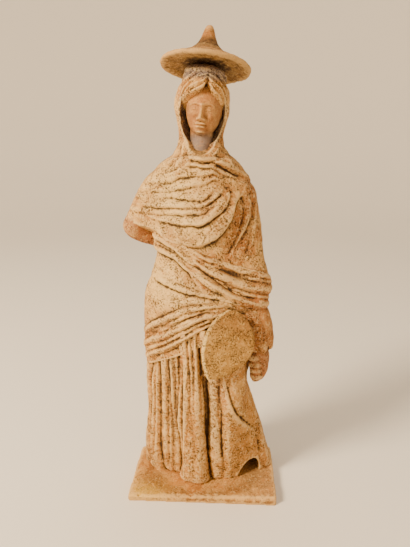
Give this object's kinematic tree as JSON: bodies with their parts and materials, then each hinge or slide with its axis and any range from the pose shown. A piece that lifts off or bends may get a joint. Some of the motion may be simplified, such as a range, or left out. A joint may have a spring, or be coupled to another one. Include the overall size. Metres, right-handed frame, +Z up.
{
  "type": "terracotta statuette",
  "caption": "Standing draped woman in fired clay with a pointed sun hat and a leaf-shaped fan, on a thin rectangular plaque.",
  "frame": {"origin": "middle of the plaque's underside, on the surface that the statuette stands on", "axes": "+Z up; the figure faces -Y, with +X on the viewer's right"},
  "size_m": [0.1029, 0.0638, 0.2995],
  "materials": {
    "plaque_terracotta": "fired clay, matt, worn and stained",
    "figure_terracotta": "fired clay with remains of a pale slip, brown dirt in the folds",
    "fan_terracotta": "fired clay, matt, mottled ochre",
    "hat_terracotta": "fired clay, matt, grey-brown patina"
  },
  "bodies": {
    "root": {"plaque": "plaque_terracotta", "figure": "figure_terracotta", "fan": "fan_terracotta", "sun_hat": "hat_terracotta"}
  },
  "joints": []
}
